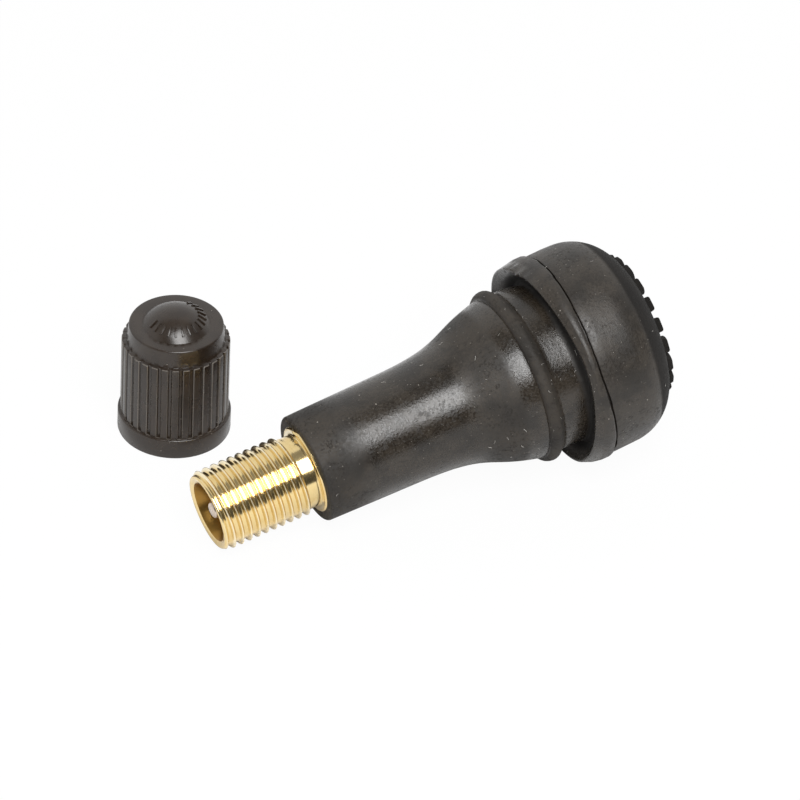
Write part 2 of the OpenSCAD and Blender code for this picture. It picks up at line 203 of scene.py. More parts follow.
def reshape(bm: Mesh, rule: Callable[[float, float, float], Point]) -> None:
    """Moves each vertex off its turned place.

    Args:
        bm: The turned mesh.
        rule: Takes a radius, an angle and a distance along the axis, in millimetres and
            radians, and returns the new radius and distance.
    """
    for v in bm.verts:
        r = math.hypot(v.co.x, v.co.y)
        if r < ON_AXIS:
            continue
        new_r, new_z = rule(r / MM, math.atan2(v.co.y, v.co.x), v.co.z / MM)
        v.co = Vector((v.co.x * new_r * MM / r, v.co.y * new_r * MM / r, new_z * MM))


def flat_sided(bm: Mesh, half: float) -> None:
    """Cuts two flats on a turned mesh and closes the cuts.

    Args:
        bm: The turned mesh.
        half: Distance of each flat from the axis, in millimetres.
    """
    for side in (-1, 1):
        geom = list(bm.verts) + list(bm.edges) + list(bm.faces)
        flat = (side * half * MM, 0, 0)
        cut = bmesh.ops.bisect_plane(
            bm, geom=geom, dist=CUT, plane_co=flat, plane_no=(side, 0, 0), clear_outer=True
        )
        rim = [e for e in cut["geom_cut"] if isinstance(e, Edge)]
        bmesh.ops.holes_fill(bm, edges=rim, sides=0)
    outward(bm)


def joined(first: Mesh, second: Mesh) -> Mesh:
    """Puts the second mesh into the first and frees it.

    Args:
        first: The mesh that stays.
        second: The mesh that is taken in.

    Returns:
        The first mesh.
    """
    spare = bpy.data.meshes.new("spare")
    second.to_mesh(spare)
    second.free()
    first.from_mesh(spare)
    bpy.data.meshes.remove(spare)
    return first


def rounded(bm: Mesh, edges: Sequence[Edge], offset: float, segments: int) -> None:
    """Rounds edges by an offset in millimetres; one that is named twice counts once."""
    geom = list(dict.fromkeys(edges))
    bmesh.ops.bevel(
        bm, geom=geom, offset=offset * MM, segments=segments, profile=0.5, affect="EDGES", material=-1
    )


def linked(name: str, data: bpy.types.ID) -> Object:
    """Makes an object of its data and links it to the scene."""
    made = bpy.data.objects.new(name, data)
    bpy.context.scene.collection.objects.link(made)
    return made


@dataclass(frozen=True)
class Swerve:
    """A stretch around the axis where an edge runs off its ring, in millimetres and degrees."""

    size: float
    at: float
    wide: float

    def off(self, turn: float) -> float:
        """Gives how far the edge is off at an angle."""
        return self.size * math.exp(-((((turn - self.at + 180) % 360 - 180) / self.wide) ** 2))


@dataclass(frozen=True)
class Thread:
    """Helical thread that is cut into or stands on a turned face.

    The crests are as wide as the roots where slim is 1, and slimmer above that. The phase is
    the share of a turn that the thread starts at.
    """

    pitch: float
    crest: float
    root: float
    slim: float
    phase: float = 0.0

    def radius(self, angle: float, z: float, share: float = 1.0) -> float:
        """Gives the radius of the thread at a place.

        Args:
            angle: Angle around the axis, in radians.
            z: Distance along the axis.
            share: Share of the full depth.

        Returns:
            The radius in millimetres.
        """
        u = (z / self.pitch + self.phase - angle / TURN) % 1.0
        rise = math.sin(math.pi * u) ** (2 * self.slim)
        return self.root + (self.crest - self.root) * rise * share


# Shader maths


class Wire:
    """A socket of a material, with the operators of plain numbers."""

    def __init__(self, sheet: "Sheet", socket: bpy.types.NodeSocket) -> None:
        """Keeps the socket and the node sheet that it lies on."""
        self.sheet, self.socket = sheet, socket

    def _math(self, operation: str, a: "Wire | float", b: "Wire | float") -> "Wire":
        """Adds one Math node and returns its result."""
        return self.sheet.node("ShaderNodeMath", {"operation": operation}, {0: a, 1: b})

    def __add__(self, other: "Wire | float") -> "Wire":
        """Adds a value."""
        return self._math("ADD", self, other)

    __radd__ = __add__

    def __sub__(self, other: "Wire | float") -> "Wire":
        """Takes a value away."""
        return self._math("SUBTRACT", self, other)

    def __rsub__(self, other: "Wire | float") -> "Wire":
        """Is taken away from a value."""
        return self._math("SUBTRACT", other, self)

    def __mul__(self, other: "Wire | float") -> "Wire":
        """Multiplies by a value."""
        return self._math("MULTIPLY", self, other)

    __rmul__ = __mul__

    def step(self, low: float, high: float) -> "Wire":
        """Rises smoothly from 0 at low to 1 at high."""
        settings = {"interpolation_type": "SMOOTHSTEP"}
        return self.sheet.node("ShaderNodeMapRange", settings, {0: self, 1: low, 2: high})

    def between(self, rise: Span, fall: Span) -> "Wire":
        """Gives 1 from the end of a rise to the start of a fall, and 0 outside them."""
        return self.step(*rise) * (1 - self.step(*fall))

    def most(self, other: "Wire | float") -> "Wire":
        """Gives the larger of two values."""
        return self._math("MAXIMUM", self, other)


class Sheet:
    """Node sheet of one material or of the world."""

    def __init__(self, tree: bpy.types.NodeTree) -> None:
        """Clears the sheet."""
        self.tree = tree
        tree.nodes.clear()

    def node(
        self, kind: str, settings: dict | None = None, inputs: dict | None = None, output: int | str = 0
    ) -> Wire:
        """Adds a node.

        Args:
            kind: Type of the node.
            settings: Its own settings; "stops" sets the stops of a ramp.
            inputs: Values or wires of its sockets, by name or number.
            output: The output that is returned.

        Returns:
            The chosen output.
        """
        made = self.tree.nodes.new(kind)
        for name, value in (settings or {}).items():
            if name == "stops":
                ramp = made.color_ramp.elements
                while len(ramp) > len(value):
                    ramp.remove(ramp[-1])
                while len(ramp) < len(value):
                    ramp.new(1.0)
                for stop, (place, colour) in zip(ramp, value):
                    stop.position = place
                    stop.color = (*colour, 1.0)
            else:
                setattr(made, name, value)
        for name, value in (inputs or {}).items():
            if isinstance(value, Wire):
                self.tree.links.new(value.socket, made.inputs[name])
            else:
                made.inputs[name].default_value = value
        return Wire(self, made.outputs[output]) if len(made.outputs) else Wire(self, None)

    def place(self, seat: Seat) -> Wire:
        """Gives places on the object in millimetres, about the axis of a seat."""
        back = seat.matrix.inverted()
        inputs = {
            "Vector": self.node("ShaderNodeTexCoord", output="Object"),
            "Location": back.translation / MM,
            "Rotation": back.to_euler(),
            "Scale": (1 / MM, 1 / MM, 1 / MM),
        }
        return self.node("ShaderNodeMapping", {"vector_type": "POINT"}, inputs)

    def cloud(self, place: Wire, scale: float, detail: float = 2.0, rough: float = 0.5) -> Wire:
        """Adds a cloudy pattern around one half, with a number of waves for each millimetre."""
        inputs = {"Vector": place, "Scale": scale, "Detail": detail, "Roughness": rough}
        return self.node("ShaderNodeTexNoise", None, inputs)

    def specks(self, place: Wire, scale: float, size: float, share: float) -> Wire:
        """Scatters small round specks.

        Args:
            place: Place that the pattern follows.
            scale: Cells for each millimetre.
            size: Radius of a speck, as a share of its cell.
            share: Share of the cells that hold a speck.

        Returns:
            1 on a speck and 0 elsewhere.
        """
        inputs = {"Vector": place, "Scale": scale}
        far = self.node("ShaderNodeTexVoronoi", {"feature": "F1"}, inputs, "Distance")
        chance = self.part(self.node("ShaderNodeTexVoronoi", {"feature": "F1"}, inputs, "Color"), "X")
        return (1 - far.step(size * 0.7, size)) * chance.step(1 - share, 1.02 - share)

    def stretch(self, place: Wire, scale: Triple) -> Wire:
        """Stretches a place along its axes."""
        return self.node("ShaderNodeVectorMath", {"operation": "MULTIPLY"}, {0: place, 1: scale})

    def part(self, place: Wire, axis: str) -> Wire:
        """Gives one coordinate of a place."""
        return self.node("ShaderNodeSeparateXYZ", None, {0: place}, axis)

    def from_axis(self, place: Wire) -> Wire:
        """Gives the distance of a place from its Z axis."""
        flat = self.stretch(place, (1, 1, 0))
        return self.node("ShaderNodeVectorMath", {"operation": "LENGTH"}, {0: flat}, "Value")

    def blend(self, share: Wire, first: Wire | Colour, second: Wire | Colour) -> Wire:
        """Mixes two colours by the share of the second."""
        ends = [c if isinstance(c, Wire) else (*c, 1.0) for c in (first, second)]
        return self.node("ShaderNodeMix", {"data_type": "RGBA"}, {0: share, 6: ends[0], 7: ends[1]}, 2)

    def bump(self, height: Wire, strength: float, depth: float) -> Wire:
        """Turns heights into a normal; the depth is that of a value of 1, in millimetres."""
        inputs = {"Height": height, "Strength": strength, "Distance": depth * MM}
        return self.node("ShaderNodeBump", None, inputs)

    def surface(self, inputs: dict) -> None:
        """Adds the shader, with values or wires of its sockets, and links it to the output."""
        shader = self.node("ShaderNodeBsdfPrincipled", None, inputs)
        self.node("ShaderNodeOutputMaterial", None, {"Surface": shader})


def material(name: str) -> tuple[Material, Sheet]:
    """Makes an empty material and its node sheet."""
    made = bpy.data.materials.new(name)
    made.use_nodes = True
    return made, Sheet(made.node_tree)


# Finishes


class Finish:
    """A finish that makes its material; its kinds give the name and the inputs of the shader."""

    name: str

    def inputs(self, s: Sheet, place: Wire) -> dict:
        """Gives the inputs of the shader.

        Args:
            s: Node sheet of the material.
            place: Places about the axis of the seat, in millimetres.

        Returns:
            Values or wires by the names of the sockets.
        """
        raise NotImplementedError

    def make(self, seat: Seat) -> Material:
        """Makes the material about the axis of a seat."""
        made, s = material(self.name)
        s.surface(self.inputs(s, s.place(seat)))
        return made


@dataclass(frozen=True)
class MouldedRubber(Finish):
    """Satin rubber with a cloudy skin, fine pits and dust, duller in some zones along the axis, with
    painted shade darkening the undercut behind the lip.
    """

    name: str = "moulded_rubber"
    dark: Colour = (0.0112, 0.0085, 0.0058)
    light: Colour = (0.0300, 0.0236, 0.0170)
    # painted shade: near-black colour that the undercut behind the lip is blended towards
    deep: Colour = (0.003, 0.0022, 0.0016)
    dust: Colour = (0.34, 0.31, 0.27)
    sheen: float = 0.5
    tip: Span = (11.5, 16.0)
    hollow: Zone = ((24.0, 27.0), (28.6, 29.6))
    ridge: Zone = ((30.85, 30.95), (32.2, 32.5))
    head: Span = (34.9, 35.5)
    groove: Span = (34.5, 35.2)
    groove_r: Span = (9.0, 9.3)
    matt: tuple[float, ...] = (1.7, 1.5, 2.0, 0.8, 2.4)
    rough: float = 0.15
    rough_pits: float = 0.24
    rough_grain: float = 0.12
    rough_matt: float = 0.27
    rough_dust: float = 0.3

    def inputs(self, s: Sheet, place: Wire) -> dict:
        """Gives the inputs of the shader."""
        along, radius = s.part(place, "Z"), s.from_axis(place)
        cloud = s.cloud(place, 0.35, 3.0, 0.55)
        dull = s.cloud(s.stretch(place, (1.0, 1.0, 0.5)), 0.9, 4.0, 0.65).step(0.44, 0.66)
        grain = s.cloud(place, 4.4, 3.0, 0.7).step(0.38, 0.62)
        pits = s.cloud(place, 2.9, 5.0, 0.75).step(0.50, 0.58) * (0.15 + dull * 0.85)
        # zone of the undercut behind the lip: duller, with less dust, and darkened as painted shade
        groove = along.step(*self.groove) * (1 - radius.step(*self.groove_r))
        tip, hollow = 1 - along.step(*self.tip), along.between(*self.hollow)
        zones = (tip, hollow, along.between(*self.ridge), along.step(*self.head), groove)
        matt = sum(zone * share for zone, share in zip(zones, self.matt))
        fine = s.specks(place, 2.7, 0.13, 0.5) * (0.25 + dull * 0.55)
        powder = s.specks(place, 1.0, 0.07, 0.3).most(fine)
        shade = cloud.step(0.32, 0.68) * (1 - pits * 0.8) * (0.55 + grain * 0.9)
        # painted shade: the tone is blended towards the near-black colour in the undercut
        tone = s.blend(groove * 0.85, s.blend(shade, self.dark, self.light), self.deep)
        rough = self.rough + pits * self.rough_pits + grain * self.rough_grain
        return {
            "Base Color": s.blend(powder * (0.8 - groove * 0.7), tone, self.dust),
            "Roughness": rough + matt * self.rough_matt + powder * self.rough_dust,
            "Normal": s.bump(s.cloud(place, 1.6, 2.0) - pits * 0.35 - grain * 0.5, 0.5, 0.018),
            "Specular IOR Level": self.sheen,
        }


@dataclass(frozen=True)
class BrightBrass(Finish):
    """Turned brass with fine tool rings and a few tarnished spots, paler crests as a painted highlight and
    a darker bore as painted shade.
    """

    name: str = "bright_brass"
    bright: Colour = (0.82, 0.64, 0.32)
    warm: Colour = (0.78, 0.58, 0.26)
    # painted shade: darker brown brass inside the bore
    bore: Colour = (0.34, 0.19, 0.045)
    # painted highlight: paler brass on the thread crests
    wear_and_painted_highlight: Colour = (0.90, 0.79, 0.55)
    rough: float = 0.155
    bore_r: Span = (2.855, 2.875)
    crest_r: Zone = ((3.50, 3.72), (3.85, 3.9))

    def inputs(self, s: Sheet, place: Wire) -> dict:
        """Gives the inputs of the shader."""
        rings = s.cloud(s.stretch(place, (0.4, 0.4, 9.0)), 1.2, 2.0)
        spots = s.cloud(place, 0.8, 3.0, 0.6)
        radius = s.from_axis(place)
        # inner faces of the bore, which get the painted shade and more roughness
        inside = 1 - radius.step(*self.bore_r)
        skin = s.blend(spots.step(0.42, 0.72), self.bright, self.warm)
        # painted highlight: the thread crests are blended towards the paler brass
        skin = s.blend(radius.between(*self.crest_r), skin, self.wear_and_painted_highlight)
        return {
            "Base Color": s.blend(inside, skin, self.bore),
            "Roughness": self.rough + (rings - 0.5) * 0.10 + spots.step(0.55, 0.8) * 0.10 + inside * 0.14,
            "Metallic": 1.0,
            "Normal": s.bump(rings, 0.35, 0.008),
        }


@dataclass(frozen=True)
class PaleMetal(Finish):
    """Plated metal with fine scratches."""

    name: str
    tone: Colour
    shade: Colour
    rough: float

    def inputs(self, s: Sheet, place: Wire) -> dict:
        """Gives the inputs of the shader."""
        spots = s.cloud(place, 2.2, 3.0, 0.6)
        scratch = s.cloud(s.stretch(place, (3.0, 3.0, 14.0)), 1.0, 2.0)
        return {
            "Base Color": s.blend(spots.step(0.4, 0.7), self.tone, self.shade),
            "Roughness": self.rough + (scratch - 0.5) * 0.12,
            "Metallic": 1.0,
            "Normal": s.bump(scratch, 0.3, 0.006),
        }


@dataclass(frozen=True)
class SealRubber(Finish):
    """Small moulded seal with a matt skin."""

    name: str
    tone: Colour
    shade: Colour

    def inputs(self, s: Sheet, place: Wire) -> dict:
        """Gives the inputs of the shader."""
        grain = s.cloud(place, 5.0, 3.0, 0.6)
        return {
            "Base Color": s.blend(grain.step(0.35, 0.7), self.tone, self.shade),
            "Roughness": 0.55 + (grain - 0.5) * 0.2,
            "Normal": s.bump(grain, 0.4, 0.02),
        }


@dataclass(frozen=True)
class CapPlastic(Finish):
    """Semi-gloss dark plastic with faint moulding marks, a little dust and a painted highlight along the
    outer rib edges.
    """

    name: str = "cap_plastic"
    dark: Colour = (0.0160, 0.0100, 0.0060)
    light: Colour = (0.0245, 0.0162, 0.0103)
    dust: Colour = (0.36, 0.33, 0.29)
    # painted highlight: paler colour along the outer edges of the ribs
    wear_and_painted_highlight: Colour = (0.12, 0.106, 0.092)
    edge: Zone = ((4.85, 4.88), (4.935, 4.945))
    rough: float = 0.27
    sheen: float = 0.55

    def inputs(self, s: Sheet, place: Wire) -> dict:
        """Gives the inputs of the shader."""
        cloud = s.cloud(place, 0.5, 3.0, 0.55)
        grain = s.cloud(place, 7.0, 2.0)
        speck = s.specks(place, 1.3, 0.07, 0.5)
        # painted highlight: mask of the outer rib edges, which are blended towards the paler colour
        wear_and_painted_highlight = s.from_axis(place).between(*self.edge)
        tone = s.blend(cloud.step(0.35, 0.68), self.dark, self.light)
        tone = s.blend(wear_and_painted_highlight * 0.85, tone, self.wear_and_painted_highlight)
        return {
            "Base Color": s.blend(speck * 0.6, tone, self.dust),
            "Roughness": self.rough + (cloud - 0.5) * 0.16 + speck * 0.3,
            "Normal": s.bump(grain, 0.4, 0.010),
            "Specular IOR Level": self.sheen,
        }


@dataclass(frozen=True)
class Lint(Finish):
    """Pale textile fibres that cling to the rubber."""

    name: str = "lint"
    tone: Colour = (0.62, 0.60, 0.56)
    shade: Colour = (0.40, 0.38, 0.35)

    def inputs(self, s: Sheet, place: Wire) -> dict:
        """Gives the inputs of the shader."""
        return {"Base Color": s.blend(s.cloud(place, 4.0), self.tone, self.shade), "Roughness": 0.7}


# Pieces


@dataclass(frozen=True)
class Piece:
    """A finished mesh that rides on a body and stands for a CAD node."""

    name: str
    seat: Seat
    body: str
    slot: Slot

    def add(self, bm: Mesh, finishes: Sequence[Material], sharp: float) -> Object:
        """Puts a mesh in its place, hangs it on its body and hides its CAD node.

        Args:
            bm: The mesh about its own axis; it is freed.
            finishes: Materials of the mesh, in the order of their numbers.
            sharp: Angle in degrees from which an edge stays sharp.

        Returns:
            The new object.
        """
        bmesh.ops.transform(bm, matrix=self.seat.matrix, verts=bm.verts)
        mesh = bpy.data.meshes.new(self.name)
        bm.to_mesh(mesh)
        bm.free()
        for finish in finishes:
            mesh.materials.append(finish)
        for face in mesh.polygons:
            face.use_smooth = True
        mesh.set_sharp_from_angle(angle=math.radians(sharp))
        piece = linked("look_" + self.name, mesh)
        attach(piece, self.body)
        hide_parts(self.name)
        LOG.info("%s: %d faces", piece.name, len(mesh.polygons))
        return piece


@dataclass
class RubberBody:
    """The moulded rubber body: sleeve, swell, snap ridge, neck, lip, band, head and lugs."""

    seat: Seat
    steps: int = 240
    inside: Line = (
        (2.2, 35.0), (4.8, 35.0), (4.8, 33.0), (3.6, 33.0), (3.6, 11.35), (4.15, 11.35), (4.15, 10.0),
    )
    sleeve: Point = (5.09, 10.0)
    sleeve_round: float = 0.25
    ragged_from: Point = (4.2, 10.2)
    sleeve_ragged: Swerve = Swerve(0.5, 162.0, 16.0)
    swell: tuple[Point, Point, Point, Point] = ((5.25, 19.5), (5.37, 26.6), (6.69, 25.8), (7.74, 30.8))
    ridge: Line = (
        (7.72, 30.88), (7.95, 30.93), (8.13, 31.03), (8.24, 31.17), (8.31, 31.35),
        (8.34, 31.55), (8.33, 31.72), (8.27, 31.88), (8.16, 32.02), (8.02, 32.14),
        (7.89, 32.27), (7.80, 32.42), (7.75, 32.6), (7.74, 32.8),
    )
    neck_r: float = 7.74
    undercut_z: float = 35.4
    undercut_round: float = 0.45
    near_side: float = -134.0
    lip: Point = (9.45, 34.15)
    lip_round: float = 0.2
    lip_worn: float = 0.6
    lip_from: Point = (8.9, 33.9)
    lip_fade: Span = (34.3, 35.7)
    lip_drawn: tuple[Swerve, ...] = (
        Swerve(0.2, 130.0, 30.0), Swerve(0.15, -44.0, 25.0), Swerve(-0.45, -122.0, 30.0),
    )
    lip_torn: Swerve = Swerve(0.5, 156.0, 13.0)
    torn_fade: Span = (34.3, 34.8)
    torn_out: float = 0.8
    band: Point = (10.09, 35.8)
    band_len: float = 0.6
    parting: Point = (9.50, 36.65)
    parting_drawn: Swerve = Swerve(0.42, -124.0, 40.0)
    drawn_rise: Span = (35.9, 36.4)
    drawn_fall: Span = (37.2, 39.4)
    crack_wide: float = 0.25
    crack_gape: float = 0.16
    crack_depth: float = 0.05
    crack_waves: tuple[tuple[float, float], ...] = ((0.05, 2.0), (0.04, 3.7))
    flat_side: Swerve = Swerve(0.3, 136.0, 45.0)
    flat_rise: Span = (33.9, 34.8)
    flat_fall: Span = (36.5, 39.0)
    flat_r: float = 9.5
    flat_less: float = 0.4
    skin_wave: float = 0.018
    skin_r: float = 5.0
    skin_from: float = 11.0
    head_r: float = 9.0
    head_front_r: float = 9.88
    head: Point = (5.19, 39.35)
    head_round: float = 4.6
    dish: Point = (4.4, 43.95)
    dish_depth: float = 0.35
    air_hole_r: float = 2.2
    air_sink: float = 0.6
    lug_count: int = 20
    lug_faces: int = 8
    lug_arc: Span = (71.2, 84.8)
    lug_h: float = 0.45
    lug_taper: float = 0.07
    lug_edge: float = 0.14
    fibres: int = 120
    fibre_seed: int = 7
    fibre_from: float = 10.8
    fibre_swell: float = 30.0
    fibre_low: Span = (5.0, 7.6)
    fibre_rim_r: float = 9.6
    fibre_slant: float = 0.95
    fibre_out: float = 0.6
    fibre_len: Span = (0.08, 0.50)
    fibre_bow: Span = (0.1, 1.3)
    fibre_r: Span = (0.008, 0.016)

    def outline(self) -> list[Point]:
        """Gives the outline of the rubber, from its end on the stem round to the inside.

        Returns:
            Radius and distance along the axis of each point, in millimetres.
        """
        sr, sz = self.sleeve
        br, bz = self.band
        lr, lz = self.lip
        hr, hz = self.head
        pts = arc(sr - self.sleeve_round, sz + self.sleeve_round, self.sleeve_round, -90, 0, 8)
        pts += straight(pts[-1], self.swell[0], 8)
        pts += pulled(*self.swell, 26)[1:]
        pts += self.ridge
        pts += straight(pts[-1], (self.neck_r, self.undercut_z - self.undercut_round), 3)[:-1]
        root = self.neck_r + self.undercut_round
        pts += arc(root, self.undercut_z - self.undercut_round, self.undercut_round, 180, 90, 6)
        pts += arc(lr, lz + self.lip_round, self.lip_round, -112, -20, 8)
        pts += [(br - 0.13, lz + 0.91), (br - 0.05, bz - 0.30), (br, bz), (br, bz + self.band_len)]
        pr, pz = self.parting
        pts += [(br - 0.03, pz - 0.18), (br - 0.10, pz - 0.09), (pr, pz - 0.06), (pr, pz + 0.07)]
        pts += [(self.head_front_r - 0.04, pz + 0.12), (self.head_front_r, pz + 0.24)]
        pts += straight(pts[-1], (hr + self.head_round, hz), 3)[:-1]
        low, high = self.lug_arc
        for start, end, count in ((0, low, 15), (low, high, 4), (high, 90, 2)):
            pts += arc(hr, hz, self.head_round, start, end, count)[0 if start == 0 else 1:]
        dr, dz = self.dish
        floor = dz - self.dish_depth
        pts += [(dr, dz), (dr - self.dish_depth, floor), (self.air_hole_r + self.air_sink, floor)]
        pts += [(self.air_hole_r, floor - self.air_sink)]
        return pts + list(self.inside)

    def lugs(self, bm: Mesh) -> None:
        """Raises the lugs from windows of faces on the rounding of the head.

        Args:
            bm: The turned mesh.
        """
        hr, hz = self.head
        low, high = self.lug_arc
        around = TURN / self.lug_count
        width = self.lug_faces * TURN / self.steps / 2
        windows: dict[int, list[Face]] = {}
        for face in bm.faces:
            c = face.calc_center_median() / MM
            r = math.hypot(c.x, c.y)
            lean = math.degrees(math.atan2(c.z - hz, r - hr))
            if not (low < lean < high and r > hr and math.hypot(r - hr, c.z - hz) > self.head_round - 0.1):
                continue
            turn = math.atan2(c.y, c.x)
            index = round(turn / around)
            if abs(turn - index * around) < width:
                windows.setdefault(index % self.lug_count, []).append(face)
        for faces in windows.values():
            made = bmesh.ops.extrude_face_region(bm, geom=faces)
            bmesh.ops.delete(bm, geom=faces, context="FACES")
            tops = [g for g in made["geom"] if isinstance(g, Face)]
            verts = list(dict.fromkeys(v for f in tops for v in f.verts))
            middle = sum((v.co for v in verts), Vector()) / len(verts)
            axis = Vector((0, 0, hz * MM))
            out = (middle - axis).normalized()
            for v in verts:
                flat = math.hypot(v.co.x, v.co.y)
                centre = Vector((v.co.x / flat * hr * MM, v.co.y / flat * hr * MM, hz * MM))
                v.co += (v.co - centre).normalized() * self.lug_h * MM
                v.co += (middle - v.co - out * (middle - v.co).dot(out)) * self.lug_taper
            rim = [e for f in tops for e in f.edges if sum(g in tops for g in e.link_faces) == 1]
            rounded(bm, rim, self.lug_edge, 3)

    def lip_shift(self, turn: float) -> float:
        """Gives how far the edge of the worn lip lies off its ring, at an angle in degrees."""
        wear_and_painted_highlight = ((1 + math.cos(math.radians(turn - self.near_side))) / 2) ** 2
        return self.lip_worn * wear_and_painted_highlight - sum(place.off(turn) for place in self.lip_drawn)

    def wander(self, r: float, angle: float, z: float) -> Point:
        """Gives the ends, the lip, the parting line and the skin their unevenness.

        Args:
            r: Radius of a vertex, in millimetres.
            angle: Its angle around the axis, in radians.
            z: Its distance along the axis, in millimetres.

        Returns:
            The new radius and distance.
        """
        turn = math.degrees(angle)
        lip_r, lip_z = self.lip_from
        spot = Vector((math.cos(angle) * 3, math.sin(angle) * 3, z * 0.12))
        fine = abs(noise.noise(spot * 7.0))
        past = z - self.parting[1]
        near = math.exp(-((past / self.crack_wide) ** 2)) if r > self.head_r else 0.0
        gape = math.copysign(self.crack_gape * max(0.0, noise.noise(spot * 1.1)), past)
        waves = sum(size * noise.noise(spot * often) for size, often in self.crack_waves)
        shift = (waves + gape) * near
        skin = 0.0
        if r > self.skin_r and self.skin_from < z < lip_z:
            skin = self.skin_wave * noise.noise(spot * 0.8)
        if r > self.ragged_from[0] and z < self.ragged_from[1]:
            shift -= fine * self.sleeve_ragged.off(turn)
        if r > lip_r and z > lip_z:
            shift += self.lip_shift(turn) * (1 - ease(z, *self.lip_fade))
            torn = self.lip_torn.off(turn) * (1 - ease(z, *self.torn_fade))
            shift -= fine * torn
            skin += self.torn_out * noise.noise(spot * 5.0) * torn
        if r > self.head_r and z > self.drawn_rise[0]:
            drawn = self.parting_drawn.off(turn)
            shift -= drawn * ease(z, *self.drawn_rise) * (1 - ease(z, *self.drawn_fall))
        if r > self.skin_r and z > lip_z:
            low = self.flat_side.off(turn) * ease(z, *self.flat_rise)
            skin -= low * (1 - self.flat_less * ease(z, *self.flat_fall)) * min(1.0, r / self.flat_r)
            skin -= self.crack_depth * abs(noise.noise(spot * 4.0)) * near
        return r + skin, z + shift

    def lint(self, bm: Mesh) -> Mesh:
        """Makes short textile fibres that lie on the outside of the rubber.

        Args:
            bm: The rubber mesh.

        Returns:
            The mesh of the fibres.
        """
        rng = random.Random(self.fibre_seed)
        outer = sorted((f for f in bm.faces if self._outside(f)), key=self._order)
        fluff = bmesh.new()
        for _ in range(self.fibres):
            face = rng.choice(outer)
            start = face.calc_center_median()
            side = face.normal.orthogonal().normalized()
            side.rotate(Matrix.Rotation(rng.uniform(0, TURN), 3, face.normal))
            length = rng.uniform(*self.fibre_len) * MM
            bow = rng.choice((-1, 1)) * rng.uniform(*self.fibre_bow)
            thick = rng.uniform(*self.fibre_r) * MM
            across = side.cross(face.normal)
            turn = Matrix((face.normal, across, side)).transposed().to_4x4()
            foot = Matrix.Translation(start + face.normal * thick * 0.6) @ turn
            made = bmesh.ops.create_circle(fluff, cap_ends=True, segments=5, radius=thick, matrix=foot)
            ring = made["verts"]
            edges = dict.fromkeys(e for v in ring for e in v.link_edges)
            geom = [*ring, *edges, *dict.fromkeys(f for v in ring for f in v.link_faces)]
            centre = start + across * (length / bow)
            bmesh.ops.spin(fluff, geom=geom, cent=centre, axis=face.normal, angle=bow, steps=4)
        outward(fluff)
        for face in fluff.faces:
            face.material_index = 1
        return fluff

    def _outside(self, face: Face) -> bool:
        """Tells whether a fibre may start from a face, on the open outside of the rubber.

        Args:
            face: The face of the rubber mesh.

        Returns:
            Whether it has room for a fibre.
        """
        c = face.calc_center_median() / MM
        r = math.hypot(c.x, c.y)
        out = face.normal.x * c.x + face.normal.y * c.y
        low = self.fibre_low[0 if c.z < self.fibre_swell else 1]
        way = self.seat.matrix.to_3x3() @ face.normal
        clear = r < self.fibre_rim_r or max(abs(way.y), abs(way.z)) < self.fibre_slant
        return c.z > self.fibre_from and r > low and out > self.fibre_out * r and clear

    def _order(self, face: Face) -> Point:
        """Gives the column and the height of a face, which sort faces the same way in each run."""
        c = face.calc_center_median()
        return round(math.atan2(c.y, c.x) / TURN * self.steps - 0.5), c.z

    def build(self) -> None:
        """Builds and dresses the rubber body."""
        bm = turned(self.outline(), self.steps, True)
        reshape(bm, self.wander)
        bm.normal_update()
        fluff = self.lint(bm)
        self.lugs(bm)
        outward(bm)
        bm = joined(bm, fluff)
        finishes = [MouldedRubber().make(self.seat), Lint().make(self.seat)]
        Piece("rubber_body", self.seat, "stem", Slot.RUBBER).add(bm, finishes, sharp=46)


